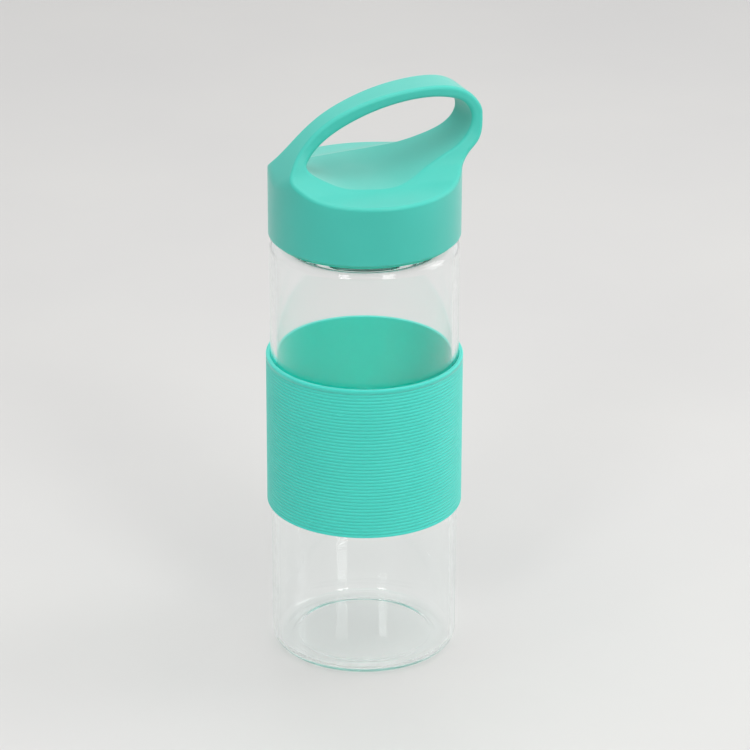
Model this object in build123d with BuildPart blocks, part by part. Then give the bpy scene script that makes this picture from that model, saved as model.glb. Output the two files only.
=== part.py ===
from build123d import *
import os

# Glass water bottle with a ribbed silicone grip and a screw cap with a carrying loop.
# Millimetres, +Z up, origin at the centre of the base. The loop lies in the XZ plane.

# Glass body
GLASS_R = 32.5
WALL = 2.2
FLOOR = 1.8
BASE_CORNER = 4.2
FLOOR_CORNER = 2.2
SHOULDER_Z = 151.7
SHOULDER_CORNER = 3.6
SHOULDER_INNER_CORNER = 2.1
NECK_R = 25.1
BORE_R = 22.4
NECK_BASE_Z = 152.1
NECK_ROOT_ROUND = 1.2
NECK_INNER_ROUND = 2.0
LIP_Z = 168.8
LIP_ROUND = 1.1

# Screw thread, one start, six turns to the inch
LEAD = 25.4 / 6
THREAD_R = 26.4
THREAD_BASE = 2.2
THREAD_CREST = 1.0
THREAD_BITE = 0.3
GLASS_THREAD_Z = 158.0
GLASS_THREAD_TURNS = 1.4

# Silicone grip
GRIP_GAP = 0.08
GRIP_R = 34.0
GRIP_LOW_Z = 54.2
GRIP_HIGH_Z = 109.4
RIB_COUNT = 43
RIB_DEPTH = 0.25
PLAIN_TOP = 1.6
PLAIN_LOW = 1.0
GRIP_EDGE_ROUND = 0.3

# Cap skirt
CAP_R = 32.85
CAP_LOW_Z = 153.6
RIM_Z = 174.1
SKIRT_WALL = 1.65
CEILING_Z = 172.6
CAP_EDGE_ROUND = 0.5

# Carrying loop
LOOP_END_R = 40.8
LOOP_END_Z = 191.8
LOOP_FAR_X = 42.4
LOOP_SPREAD = 3.55
ROOT_BLEND = 8.0
END_BLEND = 6.0
CREASE_ROUND = 1.3
OPENING_ROUND = 1.5
STOCK_TOP_Z = 210.8
SIDE_REACH = 70.0

# Threaded insert and gasket inside the cap
INSERT_GAP = 0.05
INSERT_ROOT_R = 26.95
INSERT_WALL = 1.5
INSERT_TOP_Z = 172.5
INSERT_TOP_T = 1.5
INSERT_LOW_Z = 152.4
INSERT_FLANGE_T = 1.4
INSERT_CREST_R = 25.55
INSERT_THREAD_TURNS = 1.5
SEAL_GAP = 0.05
SEAL_T = 2.1
SEAL_IN_R = 22.6
SEAL_OUT_R = 26.6

os.makedirs("parts", exist_ok=True)


def rounded_outline(corners):
    """Closed outline from (x, z, corner radius) triples."""
    points = [(x, z) for x, z, _ in corners]
    FilletPolyline(*points, radius=[radius for _, _, radius in corners], close=True)


def thread_ridge(root_r, crest_r, start_z, turns):
    """Helical ridge of trapezoid section that starts on +X and stands from root_r to crest_r."""
    path = Helix(pitch=LEAD, height=LEAD * turns, radius=root_r, center=(0, 0, start_z))
    outward = 1 if crest_r > root_r else -1
    height = abs(crest_r - root_r)
    section = Plane(origin=path @ 0, x_dir=(outward, 0, 0), z_dir=path % 0)
    with BuildPart() as ridge:
        with BuildSketch(section):
            with BuildLine():
                Polyline(
                    (-THREAD_BITE, -THREAD_BASE / 2),
                    (height, -THREAD_CREST / 2),
                    (height, THREAD_CREST / 2),
                    (-THREAD_BITE, THREAD_BASE / 2),
                    close=True,
                )
            make_face()
        sweep(path=path, is_frenet=True)
    return ridge.part


# Glass bottle: one revolved wall, open at the mouth, with a raised thread on its neck
glass_inner_r = GLASS_R - WALL
glass_thread = thread_ridge(NECK_R, THREAD_R, GLASS_THREAD_Z, GLASS_THREAD_TURNS)
with BuildPart() as glass_bottle:
    with BuildSketch(Plane.XZ):
        with BuildLine():
            rounded_outline(
                [
                    (0, 0, 0),
                    (GLASS_R, 0, BASE_CORNER),
                    (GLASS_R, SHOULDER_Z, SHOULDER_CORNER),
                    (NECK_R, NECK_BASE_Z, NECK_ROOT_ROUND),
                    (NECK_R, LIP_Z, LIP_ROUND),
                    (BORE_R, LIP_Z, LIP_ROUND),
                    (BORE_R, NECK_BASE_Z - WALL, NECK_INNER_ROUND),
                    (glass_inner_r, SHOULDER_Z - WALL, SHOULDER_INNER_CORNER),
                    (glass_inner_r, FLOOR, FLOOR_CORNER),
                    (0, FLOOR, 0),
                ]
            )
        make_face()
    revolve(axis=Axis.Z)
    add(glass_thread)
glass_bottle.part.label = "glass_bottle"
export_step(glass_bottle.part, "parts/glass_bottle.step")

# Silicone grip: a sleeve with fine rounded ribs all round
grip_inner_r = GLASS_R + GRIP_GAP
rib_low_z = GRIP_LOW_Z + PLAIN_LOW
rib_pitch = (GRIP_HIGH_Z - PLAIN_TOP - rib_low_z) / RIB_COUNT
groove_r = GRIP_R - RIB_DEPTH
with BuildPart() as silicone_grip:
    with BuildSketch(Plane.XZ):
        with BuildLine():
            for rib in range(RIB_COUNT):
                foot_z = rib_low_z + rib * rib_pitch
                ThreePointArc(
                    (groove_r, foot_z),
                    (GRIP_R, foot_z + rib_pitch / 2),
                    (groove_r, foot_z + rib_pitch),
                )
            FilletPolyline(
                (groove_r, rib_low_z + RIB_COUNT * rib_pitch),
                (GRIP_R, GRIP_HIGH_Z - PLAIN_TOP),
                (GRIP_R, GRIP_HIGH_Z),
                (grip_inner_r, GRIP_HIGH_Z),
                (grip_inner_r, GRIP_LOW_Z),
                (GRIP_R, GRIP_LOW_Z),
                (GRIP_R, rib_low_z),
                (groove_r, rib_low_z),
                radius=[0, GRIP_EDGE_ROUND, GRIP_EDGE_ROUND, GRIP_EDGE_ROUND, GRIP_EDGE_ROUND, 0],
            )
        make_face()
    revolve(axis=Axis.Z)
silicone_grip.part.label = "silicone_grip"
export_step(silicone_grip.part, "parts/silicone_grip.step")

# Threaded insert: an inner tube joined to the cap's skirt by a top disc and a low flange
insert_outer_r = CAP_R - SKIRT_WALL - INSERT_GAP
insert_tube_r = INSERT_ROOT_R + INSERT_WALL
insert_seat_z = INSERT_TOP_Z - INSERT_TOP_T
insert_thread_z = GLASS_THREAD_Z - LEAD / 2
insert_thread = thread_ridge(INSERT_ROOT_R, INSERT_CREST_R, insert_thread_z, INSERT_THREAD_TURNS)
with BuildPart() as cap_thread_insert:
    with BuildSketch(Plane.XZ):
        with BuildLine():
            Polyline(
                (0, INSERT_TOP_Z),
                (insert_outer_r, INSERT_TOP_Z),
                (insert_outer_r, insert_seat_z),
                (insert_tube_r, insert_seat_z),
                (insert_tube_r, INSERT_LOW_Z + INSERT_FLANGE_T),
                (insert_outer_r, INSERT_LOW_Z + INSERT_FLANGE_T),
                (insert_outer_r, INSERT_LOW_Z),
                (INSERT_ROOT_R, INSERT_LOW_Z),
                (INSERT_ROOT_R, insert_seat_z),
                (0, insert_seat_z),
                close=True,
            )
        make_face()
    revolve(axis=Axis.Z)
    add(insert_thread)
cap_thread_insert.part.label = "cap_thread_insert"
export_step(cap_thread_insert.part, "parts/cap_thread_insert.step")

# Gasket between the glass lip and the insert's disc
seal_low_z = LIP_Z + SEAL_GAP
with BuildPart() as seal_ring:
    with BuildSketch(Plane.XZ):
        with BuildLine():
            rounded_outline(
                [
                    (SEAL_IN_R, seal_low_z, 0.4),
                    (SEAL_OUT_R, seal_low_z, 0.4),
                    (SEAL_OUT_R, seal_low_z + SEAL_T, 0.4),
                    (SEAL_IN_R, seal_low_z + SEAL_T, 0.4),
                ]
            )
        make_face()
    revolve(axis=Axis.Z)
seal_ring.part.label = "seal_ring"
export_step(seal_ring.part, "parts/seal_ring.step")

# Cap shell: a skirt whose top flows up into a carrying loop. The stock is what three shapes
# share: the loop's outline, a swelling plan that overhangs the skirt, and two flared sides.
with BuildPart() as loop_outline:
    with BuildSketch(Plane.XZ.offset(-CAP_R)):
        with BuildLine():
            back = Spline(
                (-CAP_R, RIM_Z - 0.3),
                (-31.9, 177.8),
                (-29.6, 181.6),
                (-27.2, 185.0),
                (-22.1, 190.7),
                (-14.5, 196.4),
                (-6.5, 200.0),
                (4.0, 203.0),
                (16.8, 204.6),
                (25.0, 204.5),
                (31.6, 203.1),
                (36.6, 200.0),
                (39.6, 196.0),
                (41.4, 191.0),
                (LOOP_FAR_X, 185.3),
            )
            Polyline(back @ 1, (LOOP_FAR_X, CAP_LOW_Z), (-CAP_R, CAP_LOW_Z), back @ 0)
        make_face()
    extrude(amount=2 * CAP_R)

with BuildPart() as plan_swell:
    with BuildSketch(Plane.XZ):
        with BuildLine():
            swell = Spline(
                (CAP_R, 177.3),
                (34.5, 180.0),
                (38.6, 183.8),
                (40.4, 187.6),
                (LOOP_END_R, LOOP_END_Z),
                tangents=[(0, 1), (0, 1)],
                tangent_scalars=[0.5, 0.5],
            )
            Polyline(
                swell @ 1,
                (LOOP_END_R, STOCK_TOP_Z),
                (0, STOCK_TOP_Z),
                (0, CAP_LOW_Z),
                (CAP_R, CAP_LOW_Z),
                swell @ 0,
            )
        make_face()
    revolve(axis=Axis.Z)
    split(bisect_by=Plane.YZ, keep=Keep.TOP)
    with BuildSketch(Plane.XY.offset(CAP_LOW_Z)):
        Circle(CAP_R)
    extrude(amount=STOCK_TOP_Z - CAP_LOW_Z)

side_run = Vector(1, 0, 0).rotate(Axis.Z, -LOOP_SPREAD)
side_in = Vector(0, 1, 0).rotate(Axis.Z, -LOOP_SPREAD)
with BuildPart() as front_flare:
    with BuildSketch(Plane(origin=side_run * -SIDE_REACH, x_dir=side_in, z_dir=side_run)):
        with BuildLine():
            flare = Spline(
                (-CAP_R - 1.5, RIM_Z - 0.15),
                (-24.0, 174.9),
                (-19.5, 175.9),
                (-15.5, 177.6),
                (-12.5, 179.0),
                (-10.2, 180.9),
                (-8.7, 183.0),
                (-7.3, 185.6),
                (-6.0, 190.3),
                (-5.4, 197.8),
                (-5.2, STOCK_TOP_Z),
            )
            Polyline(
                flare @ 1,
                (SIDE_REACH, STOCK_TOP_Z),
                (SIDE_REACH, CAP_LOW_Z),
                (-CAP_R - 1.5, CAP_LOW_Z),
                flare @ 0,
            )
        make_face()
    extrude(amount=2 * SIDE_REACH)

with BuildPart() as loop_opening:
    with BuildSketch(Plane.XZ.offset(-SIDE_REACH)):
        with BuildLine():
            Spline(
                (-23.3, 182.8),
                (-17.9, 188.4),
                (-7.4, 194.5),
                (3.2, 198.3),
                (15.5, 200.5),
                (27.9, 199.9),
                (34.3, 196.9),
                (36.2, 191.8),
                (33.4, 186.4),
                (25.0, 181.9),
                (13.9, 178.3),
                (3.8, 176.1),
                (-7.9, 176.2),
                (-19.0, 178.4),
                periodic=True,
            )
        make_face()
    extrude(amount=2 * SIDE_REACH)

back_flare = front_flare.part.mirror(Plane.XZ)


def on_middle_plane(edge):
    """True for an edge whose middle lies in the loop's plane."""
    return abs(edge.position_at(0.5).Y) < 0.1


with BuildPart() as cap_shell:
    add(loop_outline.part & plan_swell.part & front_flare.part & back_flare)
    cross_creases = edges().filter_by(GeomType.BSPLINE).filter_by(on_middle_plane).sort_by(Axis.X)
    fillet(cross_creases[0], ROOT_BLEND)
    cross_creases = edges().filter_by(GeomType.BSPLINE).filter_by(on_middle_plane).sort_by(Axis.X)
    fillet(cross_creases[-1], END_BLEND)
    above_skirt = edges().filter_by_position(Axis.Z, RIM_Z - 0.5, STOCK_TOP_Z)
    creases = above_skirt.filter_by(GeomType.BSPLINE)
    fillet(creases.filter_by(on_middle_plane, reverse=True), CREASE_ROUND)
    add(loop_opening.part, mode=Mode.SUBTRACT)
    fillet(edges(Select.NEW).filter_by(on_middle_plane, reverse=True), OPENING_ROUND)
    with BuildSketch(Plane.XY.offset(CAP_LOW_Z)):
        Circle(CAP_R - SKIRT_WALL)
    extrude(amount=CEILING_Z - CAP_LOW_Z, mode=Mode.SUBTRACT)
    lower_edges = edges().filter_by_position(Axis.Z, CAP_LOW_Z - 0.1, CAP_LOW_Z + 0.1)
    fillet(lower_edges.sort_by(SortBy.LENGTH)[-1], CAP_EDGE_ROUND)
cap_shell.part.label = "cap_shell"
export_step(cap_shell.part, "parts/cap_shell.step")
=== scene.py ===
import math

import bpy
from mathutils import Matrix, Vector


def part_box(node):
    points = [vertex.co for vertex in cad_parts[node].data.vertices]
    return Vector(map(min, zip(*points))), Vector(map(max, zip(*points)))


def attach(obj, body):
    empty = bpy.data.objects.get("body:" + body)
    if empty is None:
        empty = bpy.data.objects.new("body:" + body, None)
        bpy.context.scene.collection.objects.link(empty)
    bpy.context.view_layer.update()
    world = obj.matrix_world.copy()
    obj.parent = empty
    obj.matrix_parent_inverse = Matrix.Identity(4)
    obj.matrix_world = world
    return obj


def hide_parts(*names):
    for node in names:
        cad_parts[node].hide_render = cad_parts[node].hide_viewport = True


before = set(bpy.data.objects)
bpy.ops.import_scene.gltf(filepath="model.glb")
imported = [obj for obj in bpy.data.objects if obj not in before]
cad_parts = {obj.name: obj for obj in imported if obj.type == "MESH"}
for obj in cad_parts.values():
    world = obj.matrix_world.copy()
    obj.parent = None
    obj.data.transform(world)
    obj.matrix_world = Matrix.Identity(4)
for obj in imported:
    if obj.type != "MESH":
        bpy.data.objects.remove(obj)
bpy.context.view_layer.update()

MM = 0.001

# Glass body: the CAD part's sizes, in metres, and a push-up under the base
GLASS_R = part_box("glass_bottle")[1].x
LIP_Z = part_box("glass_bottle")[1].z
WALL = 2.2 * MM
FLOOR = 1.8 * MM
BASE_CORNER = 4.2 * MM
FLOOR_CORNER = 2.2 * MM
PUSH_UP = 0.5 * MM
PUSH_UP_R = 23.5 * MM
FOOT_INNER_R = 25.5 * MM
PUSH_UP_ROUND = 1.2 * MM
SHOULDER_Z = 151.7 * MM
SHOULDER_CORNER = 3.6 * MM
SHOULDER_INNER_CORNER = 2.1 * MM
NECK_INNER_ROUND = 2.0 * MM
NECK_R = 25.1 * MM
BORE_R = 22.4 * MM
NECK_BASE_Z = 152.1 * MM
NECK_ROOT_ROUND = 1.2 * MM
LIP_ROUND = 1.1 * MM

# Thread on the neck: a low ridge that rises and fades over THREAD_FADE of a turn at its ends
LEAD = 25.4 / 6 * MM
THREAD_R = 26.4 * MM
THREAD_BASE = 2.2 * MM
THREAD_CREST = 1.0 * MM
THREAD_Z = 158.0 * MM
THREAD_TURNS = 1.4
THREAD_FADE = 0.04

# Silicone grip, with its ribs cut a little deeper than in the CAD part
GRIP_LOW_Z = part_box("silicone_grip")[0].z
GRIP_HIGH_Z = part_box("silicone_grip")[1].z
GRIP_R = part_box("silicone_grip")[1].x
GRIP_GAP = 0.08 * MM
GRIP_INNER_R = GLASS_R + GRIP_GAP
RIB_COUNT = 43
RIB_DEPTH = 0.34 * MM
RIB_FULLNESS = 0.7
PLAIN_TOP = 1.6 * MM
PLAIN_LOW = 1.0 * MM
GRIP_EDGE_ROUND = 0.3 * MM
GRIP_INNER_MARGIN = 0.02 * MM

# Mesh fineness
SEGMENTS = 256
RIB_STEPS = 8
ARC_STEP = math.radians(7)
GRIP_ARC_STEP = math.radians(20)
WALL_ROW = 4 * MM
THREAD_ROW = 0.12 * MM
SAME_PLACE = 1e-6
ON_AXIS = 1e-7

# Floor, in metres, and room: its brightest side, in degrees, and its strength on each side
FLOOR_REACH = 4.0
FLOOR_DROP = 0.15 * MM
BRIGHT_SIDE = 145
ROOM_DIM = 0.42
ROOM_BRIGHT = 0.82

# Lights
LIGHT_TARGET = Vector((0, 0, 0.1))
LIGHT_BOUNCES = 96

# Camera, in metres and radians. LOOP_TURN is how far the viewer stands from the front of the loop.
LOOP_TURN = math.radians(23)
CAMERA_DISTANCE = 1.109
CAMERA_HEIGHT = 0.5848
CAMERA_PITCH = 0.4118
CAMERA_YAW = 0.0033
CAMERA_ROLL = 0.0031
CAMERA_LENS = 168
CAMERA_SENSOR = 36
CAMERA_FAR = 20


# ---------------------------------------------------------------- mesh helpers
def rounded_profile(corners, arc_step=ARC_STEP):
    """Points of an outline of (radius, height, corner radius) triples, with its arcs sampled."""
    points = []
    for i, (x, z, r) in enumerate(corners):
        here = Vector((x, z))
        if r <= 0:
            points.append(here)
            continue
        before = (Vector(corners[i - 1][:2]) - here).normalized()
        after = (Vector(corners[(i + 1) % len(corners)][:2]) - here).normalized()
        half = before.angle(after) / 2
        centre = here + (before + after).normalized() * (r / math.sin(half))
        start = here + before * (r / math.tan(half)) - centre
        end = here + after * (r / math.tan(half)) - centre
        first = math.atan2(start.y, start.x)
        turn = math.remainder(math.atan2(end.y, end.x) - first, 2 * math.pi)
        steps = max(2, math.ceil(abs(turn) / arc_step))
        for k in range(steps + 1):
            angle = first + turn * k / steps
            points.append(centre + Vector((math.cos(angle), math.sin(angle))) * r)
    return points


def divided(a, b, longest):
    """Points from a up to, and without, b that are no further apart than asked."""
    count = max(1, math.ceil((b - a).length / longest))
    return [a.lerp(b, k / count) for k in range(count)]


def new_object(name, verts, faces, material):
    mesh = bpy.data.meshes.new(name)
    mesh.from_pydata(verts, [], faces)
    mesh.validate()
    mesh.polygons.foreach_set("use_smooth", [True] * len(mesh.polygons))
    mesh.materials.append(material)
    obj = bpy.data.objects.new(name, mesh)
    bpy.context.scene.collection.objects.link(obj)
    return obj


def revolve(name, profile, material, shift=None):
    """Turns a profile about Z: one that starts and ends on the axis, or one that closes on
    itself. It runs anticlockwise, seen with the radius to the right. shift(angle, radius,
    height) moves a point outward."""
    verts, rows = [], []
    for p in profile:
        if p.x < ON_AXIS:
            rows.append([len(verts)])
            verts.append((0.0, 0.0, p.y))
            continue
        rows.append([])
        for k in range(SEGMENTS):
            angle = 2 * math.pi * k / SEGMENTS
            r = p.x + (shift(angle, p.x, p.y) if shift else 0.0)
            rows[-1].append(len(verts))
            verts.append((r * math.cos(angle), r * math.sin(angle), p.y))
    pairs = list(zip(rows, rows[1:]))
    if len(rows[0]) > 1:
        pairs.append((rows[-1], rows[0]))
    faces = []
    for low, high in pairs:
        for k in range(SEGMENTS):
            n = (k + 1) % SEGMENTS
            if len(low) == 1:
                faces.append((low[0], high[n], high[k]))
            elif len(high) == 1:
                faces.append((low[k], low[n], high[0]))
            else:
                faces.append((low[k], low[n], high[n], high[k]))
    return new_object(name, verts, faces, material)


# ---------------------------------------------------------------- material helpers
def node_material(name):
    material = bpy.data.materials.new(name)
    material.use_nodes = True
    return material, material.node_tree, material.node_tree.nodes["Principled BSDF"]


def linear(r, g, b):
    """An sRGB colour of 0 to 255 as linear RGBA."""
    def one(c):
        c /= 255
        return c / 12.92 if c <= 0.04045 else ((c + 0.055) / 1.055) ** 2.4
    return (one(r), one(g), one(b), 1.0)


def add_noise(tree, scale, detail, roughness=0.5, stretch=(1, 1, 1)):
    coords = tree.nodes.new("ShaderNodeTexCoord")
    mapping = tree.nodes.new("ShaderNodeMapping")
    mapping.inputs["Scale"].default_value = stretch
    noise = tree.nodes.new("ShaderNodeTexNoise")
    noise.inputs["Scale"].default_value = scale
    noise.inputs["Detail"].default_value = detail
    noise.inputs["Roughness"].default_value = roughness
    tree.links.new(coords.outputs["Object"], mapping.inputs["Vector"])
    tree.links.new(mapping.outputs["Vector"], noise.inputs["Vector"])
    return noise.outputs["Fac"]


def add_colour_drift(tree, shader, low, high, scale, detail):
    """Lets the base colour wander between two close colours."""
    ramp = tree.nodes.new("ShaderNodeValToRGB")
    ramp.color_ramp.elements[0].position = 0.3
    ramp.color_ramp.elements[0].color = low
    ramp.color_ramp.elements[1].position = 0.7
    ramp.color_ramp.elements[1].color = high
    tree.links.new(add_noise(tree, scale, detail), ramp.inputs["Fac"])
    tree.links.new(ramp.outputs["Color"], shader.inputs["Base Color"])


def add_range(tree, source, low, high, source_low=0.0):
    """Maps a value of source_low to 1 onto low to high."""
    spread = tree.nodes.new("ShaderNodeMapRange")
    spread.inputs["From Min"].default_value = source_low
    spread.inputs["To Min"].default_value = low
    spread.inputs["To Max"].default_value = high
    tree.links.new(source, spread.inputs["Value"])
    return spread.outputs["Result"]


def add_bump(tree, shader, source, strength, distance):
    bump = tree.nodes.new("ShaderNodeBump")
    bump.inputs["Strength"].default_value = strength
    bump.inputs["Distance"].default_value = distance
    tree.links.new(source, bump.inputs["Height"])
    tree.links.new(bump.outputs["Normal"], shader.inputs["Normal"])


# ---------------------------------------------------------------- plastics and rubbers
GLOSS_SPREAD = 0.05


def soft_plastic(name, low, high, roughness, grain, bump, sheen, specular=0.5):
    """A moulded surface: slight colour drift, uneven gloss and a fine mould grain, with a
    little light carried under the skin. grain is the size of the grain's noise."""
    material, tree, shader = node_material(name)
    add_colour_drift(tree, shader, low, high, scale=28, detail=2)
    gloss = add_noise(tree, scale=160, detail=3)
    spread = add_range(tree, gloss, roughness - GLOSS_SPREAD, roughness + GLOSS_SPREAD)
    tree.links.new(spread, shader.inputs["Roughness"])
    fine = add_noise(tree, grain, detail=4, roughness=0.6)
    add_bump(tree, shader, fine, bump, distance=0.08 * MM)
    shader.inputs["IOR"].default_value = 1.49
    shader.inputs["Specular IOR Level"].default_value = specular
    shader.inputs["Subsurface Weight"].default_value = 0.35
    shader.inputs["Subsurface Radius"].default_value = (0.4, 1.0, 0.9)
    shader.inputs["Subsurface Scale"].default_value = 4 * MM
    shader.inputs["Sheen Weight"].default_value = sheen
    shader.inputs["Sheen Roughness"].default_value = 0.45
    shader.inputs["Sheen Tint"].default_value = (1, 1, 1, 1)
    return material


cap_plastic = soft_plastic(
    "cap_polypropylene",
    low=linear(56, 186, 171), high=linear(62, 192, 177),
    roughness=0.42, grain=1500, bump=0.12, sheen=0.28,
)
grip_rubber = soft_plastic(
    "grip_silicone",
    low=linear(62, 208, 192), high=linear(68, 212, 196),
    roughness=0.52, grain=1800, bump=0.06, sheen=0.24,
)
insert_plastic = soft_plastic(
    "insert_polypropylene",
    low=linear(40, 196, 168), high=linear(48, 204, 176),
    roughness=0.4, grain=1500, bump=0.1, sheen=0.1,
)
# The grip's inner face lies on the glass, so it shows deeper in colour and without gloss.
grip_inner_rubber = soft_plastic(
    "grip_silicone_on_glass",
    low=linear(6, 206, 184), high=linear(10, 212, 190),
    roughness=0.6, grain=1800, bump=0.05, sheen=0.0, specular=0.05,
)
seal_rubber = soft_plastic(
    "seal_silicone",
    low=linear(214, 216, 210), high=linear(224, 226, 221),
    roughness=0.45, grain=1500, bump=0.1, sheen=0.2,
)


# ---------------------------------------------------------------- glass
def glass_surface(tree, shader):
    """Clear, with faint smears and waves. Shadow rays go straight through it, so that light
    reaches what stands behind."""
    shader.inputs["Base Color"].default_value = (1, 1, 1, 1)
    shader.inputs["Transmission Weight"].default_value = 1.0
    shader.inputs["IOR"].default_value = 1.473
    smears = add_noise(tree, scale=35, detail=4, roughness=0.55, stretch=(1, 1, 0.35))
    tree.links.new(add_range(tree, smears, 0.0, 0.012), shader.inputs["Roughness"])
    waves = add_noise(tree, scale=14, detail=1, roughness=0.4, stretch=(1, 1, 0.3))
    add_bump(tree, shader, waves, strength=0.02, distance=0.4 * MM)
    clear = tree.nodes.new("ShaderNodeBsdfTransparent")
    clear.inputs["Color"].default_value = (0.985, 0.99, 0.988, 1)
    paths = tree.nodes.new("ShaderNodeLightPath")
    mix = tree.nodes.new("ShaderNodeMixShader")
    tree.links.new(paths.outputs["Is Shadow Ray"], mix.inputs["Fac"])
    tree.links.new(shader.outputs["BSDF"], mix.inputs[1])
    tree.links.new(clear.outputs["BSDF"], mix.inputs[2])
    tree.links.new(mix.outputs["Shader"], tree.nodes["Material Output"].inputs["Surface"])


def glass_volume(tree):
    """A green-blue tint over a long way through the glass, and a weak glow that stands for the
    light which the wall gathers and scatters into its edges."""
    tint = tree.nodes.new("ShaderNodeVolumeAbsorption")
    tint.inputs["Color"].default_value = (0.0, 0.72, 0.64, 1)
    tint.inputs["Density"].default_value = 4.5
    glow = tree.nodes.new("ShaderNodeEmission")
    glow.inputs["Color"].default_value = (0.52, 1.0, 0.92, 1)
    glow.inputs["Strength"].default_value = 1.25
    both = tree.nodes.new("ShaderNodeAddShader")
    tree.links.new(tint.outputs["Volume"], both.inputs[0])
    tree.links.new(glow.outputs["Emission"], both.inputs[1])
    tree.links.new(both.outputs["Shader"], tree.nodes["Material Output"].inputs["Volume"])


def thread_height(angle, radius, height):
    """How far the thread stands out at a point of the neck's outside, and 0 elsewhere."""
    if abs(radius - NECK_R) > SAME_PLACE:
        return 0.0
    best = 0.0
    for turn in range(math.ceil(THREAD_TURNS)):
        travelled = angle / (2 * math.pi) + turn
        if travelled > THREAD_TURNS:
            continue
        off = abs(height - (THREAD_Z + LEAD * travelled))
        slope = (THREAD_BASE / 2 - off) / ((THREAD_BASE - THREAD_CREST) / 2)
        fade = min(1.0, travelled / THREAD_FADE, (THREAD_TURNS - travelled) / THREAD_FADE)
        rise = min(1.0, max(0.0, slope))
        best = max(best, rise * rise * (3 - 2 * rise) * fade)
    return best * (THREAD_R - NECK_R)


def make_glass():
    inner_r = GLASS_R - WALL
    outline = rounded_profile(
        [
            (0, PUSH_UP, 0),
            (PUSH_UP_R, PUSH_UP, PUSH_UP_ROUND),
            (FOOT_INNER_R, 0, PUSH_UP_ROUND),
            (GLASS_R, 0, BASE_CORNER),
            (GLASS_R, SHOULDER_Z, SHOULDER_CORNER),
            (NECK_R, NECK_BASE_Z, NECK_ROOT_ROUND),
            (NECK_R, LIP_Z, LIP_ROUND),
            (BORE_R, LIP_Z, LIP_ROUND),
            (BORE_R, NECK_BASE_Z - WALL, NECK_INNER_ROUND),
            (inner_r, SHOULDER_Z - WALL, SHOULDER_INNER_CORNER),
            (inner_r, FLOOR, FLOOR_CORNER),
            (FOOT_INNER_R, FLOOR, PUSH_UP_ROUND),
            (PUSH_UP_R, FLOOR + PUSH_UP, PUSH_UP_ROUND),
            (0, FLOOR + PUSH_UP, 0),
        ]
    )
    profile = []
    for a, b in zip(outline, outline[1:]):
        on_neck = abs(a.x - NECK_R) < SAME_PLACE and abs(b.x - NECK_R) < SAME_PLACE
        profile += divided(a, b, THREAD_ROW if on_neck else WALL_ROW)
    profile.append(outline[-1])
    material, tree, shader = node_material("bottle_glass")
    glass_surface(tree, shader)
    glass_volume(tree)
    obj = revolve("glass_body", profile, material, thread_height)
    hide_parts("glass_bottle")
    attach(obj, "bottle")


# ---------------------------------------------------------------- silicone grip
def make_grip():
    low_z = GRIP_LOW_Z + PLAIN_LOW
    pitch = (GRIP_HIGH_Z - PLAIN_TOP - low_z) / RIB_COUNT
    groove_r = GRIP_R - RIB_DEPTH
    ribs = []
    for rib in range(RIB_COUNT):
        for k in range(RIB_STEPS):
            t = k / RIB_STEPS
            bulge = math.sin(math.pi * t) ** RIB_FULLNESS
            ribs.append(Vector((groove_r + RIB_DEPTH * bulge, low_z + (rib + t) * pitch)))
    top_groove = Vector((groove_r, low_z + RIB_COUNT * pitch))
    ends = rounded_profile(
        [
            (GRIP_R, GRIP_HIGH_Z - PLAIN_TOP, 0),
            (GRIP_R, GRIP_HIGH_Z, GRIP_EDGE_ROUND),
            (GRIP_INNER_R, GRIP_HIGH_Z, GRIP_EDGE_ROUND),
            (GRIP_INNER_R, GRIP_LOW_Z, GRIP_EDGE_ROUND),
            (GRIP_R, GRIP_LOW_Z, GRIP_EDGE_ROUND),
            (GRIP_R, low_z, 0),
        ],
        GRIP_ARC_STEP,
    )
    obj = revolve("grip_sleeve", ribs + [top_groove] + ends, grip_rubber)
    obj.data.materials.append(grip_inner_rubber)
    for face in obj.data.polygons:
        face_r = math.hypot(face.center.x, face.center.y)
        face.material_index = int(face_r < GRIP_INNER_R + GRIP_INNER_MARGIN)
    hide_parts("silicone_grip")
    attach(obj, "grip")


# ---------------------------------------------------------------- the bottle
def dress_cad_node(node, material):
    """Gives a CAD piece that stays as it is its own material."""
    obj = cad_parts[node]
    obj.data.materials.clear()
    obj.data.materials.append(material)


make_glass()
make_grip()
dress_cad_node("cap_shell", cap_plastic)
dress_cad_node("cap_thread_insert", insert_plastic)
dress_cad_node("seal_ring", seal_rubber)


# ---------------------------------------------------------------- floor
def make_floor():
    """A wide plain sheet, just under the base so that the two faces don't meet."""
    material, tree, shader = node_material("floor_finish")
    low, high = linear(207, 206, 205), linear(211, 210, 208)
    add_colour_drift(tree, shader, low, high, scale=6, detail=4)
    shader.inputs["Roughness"].default_value = 0.5
    corners = []
    for x, y in ((-1, -1), (1, -1), (1, 1), (-1, 1)):
        corners.append((x * FLOOR_REACH, y * FLOOR_REACH, -FLOOR_DROP))
    new_object("floor", corners, [(0, 1, 2, 3)], material)


make_floor()


# ---------------------------------------------------------------- light
def around(turn, distance, height):
    """A place round the bottle, turned in degrees to the right of the viewer's side."""
    angle = math.radians(turn) - LOOP_TURN
    return Vector((math.sin(angle) * distance, -math.cos(angle) * distance, height))


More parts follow.
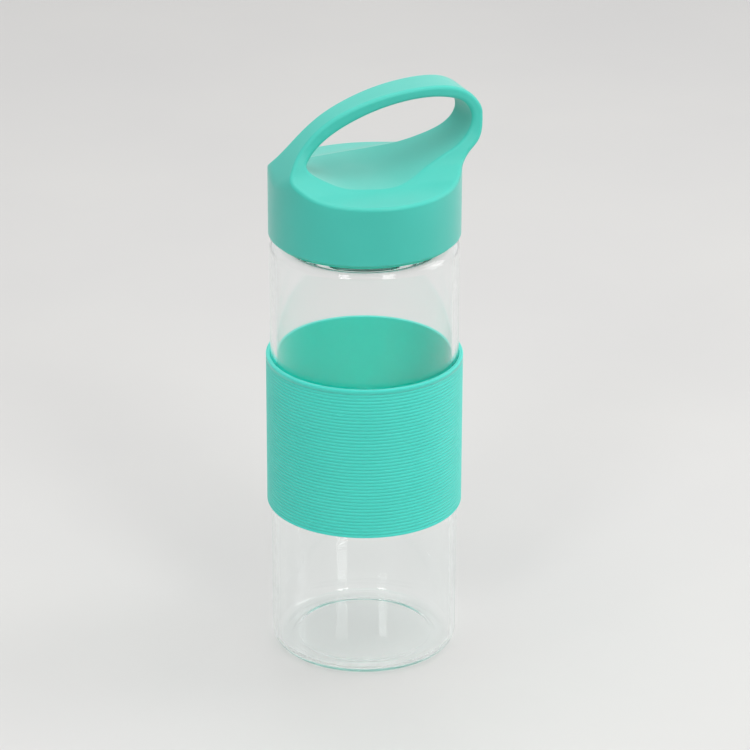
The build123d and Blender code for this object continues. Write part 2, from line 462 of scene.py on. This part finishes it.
def area_light(name, place, size, power):
    """A rectangle of light that faces the middle of the bottle."""
    data = bpy.data.lights.new(name, "AREA")
    data.shape = "RECTANGLE"
    data.size, data.size_y = size
    data.energy = power
    obj = bpy.data.objects.new(name, data)
    bpy.context.scene.collection.objects.link(obj)
    obj.location = place
    obj.rotation_euler = (LIGHT_TARGET - place).to_track_quat("-Z", "Y").to_euler()


def make_world():
    """A pale room that is brighter to the viewer's right and behind the bottle."""
    world = bpy.data.worlds.new("studio")
    bpy.context.scene.world = world
    world.use_nodes = True
    tree = world.node_tree
    coords = tree.nodes.new("ShaderNodeTexCoord")
    facing = tree.nodes.new("ShaderNodeVectorMath")
    facing.operation = "DOT_PRODUCT"
    facing.inputs[1].default_value = around(BRIGHT_SIDE, 1, 0)
    tree.links.new(coords.outputs["Generated"], facing.inputs[0])
    strength = add_range(tree, facing.outputs["Value"], ROOM_DIM, ROOM_BRIGHT, source_low=-1)
    tree.links.new(strength, tree.nodes["Background"].inputs["Strength"])
    tree.nodes["Background"].inputs["Color"].default_value = (1, 1, 1, 1)


area_light("overhead", Vector((0.05, -0.05, 1.3)), size=(1.4, 1.4), power=9.2)
area_light("left_window", around(-26, 1.3, 0.95), size=(0.3, 0.5), power=3.5)
area_light("right_window", around(31, 1.3, 0.95), size=(0.38, 0.6), power=4.5)
area_light("side_window", around(100, 1.2, 0.75), size=(0.5, 0.9), power=3.4)
make_world()
bpy.context.scene.view_settings.view_transform = "Standard"
bpy.context.scene.cycles.max_bounces = LIGHT_BOUNCES
bpy.context.scene.cycles.transmission_bounces = LIGHT_BOUNCES
bpy.context.scene.cycles.glossy_bounces = LIGHT_BOUNCES

# ---------------------------------------------------------------- camera
camera_data = bpy.data.cameras.new("camera")
camera_data.lens = CAMERA_LENS
camera_data.sensor_width = CAMERA_SENSOR
camera_data.clip_end = CAMERA_FAR
camera = bpy.data.objects.new("camera", camera_data)
bpy.context.scene.collection.objects.link(camera)
camera.matrix_world = (
    Matrix.Translation(around(0, CAMERA_DISTANCE, CAMERA_HEIGHT))
    @ Matrix.Rotation(-LOOP_TURN - CAMERA_YAW, 4, "Z")
    @ Matrix.Rotation(math.pi / 2 - CAMERA_PITCH, 4, "X")
    @ Matrix.Rotation(CAMERA_ROLL, 4, "Z")
)
bpy.context.scene.camera = camera
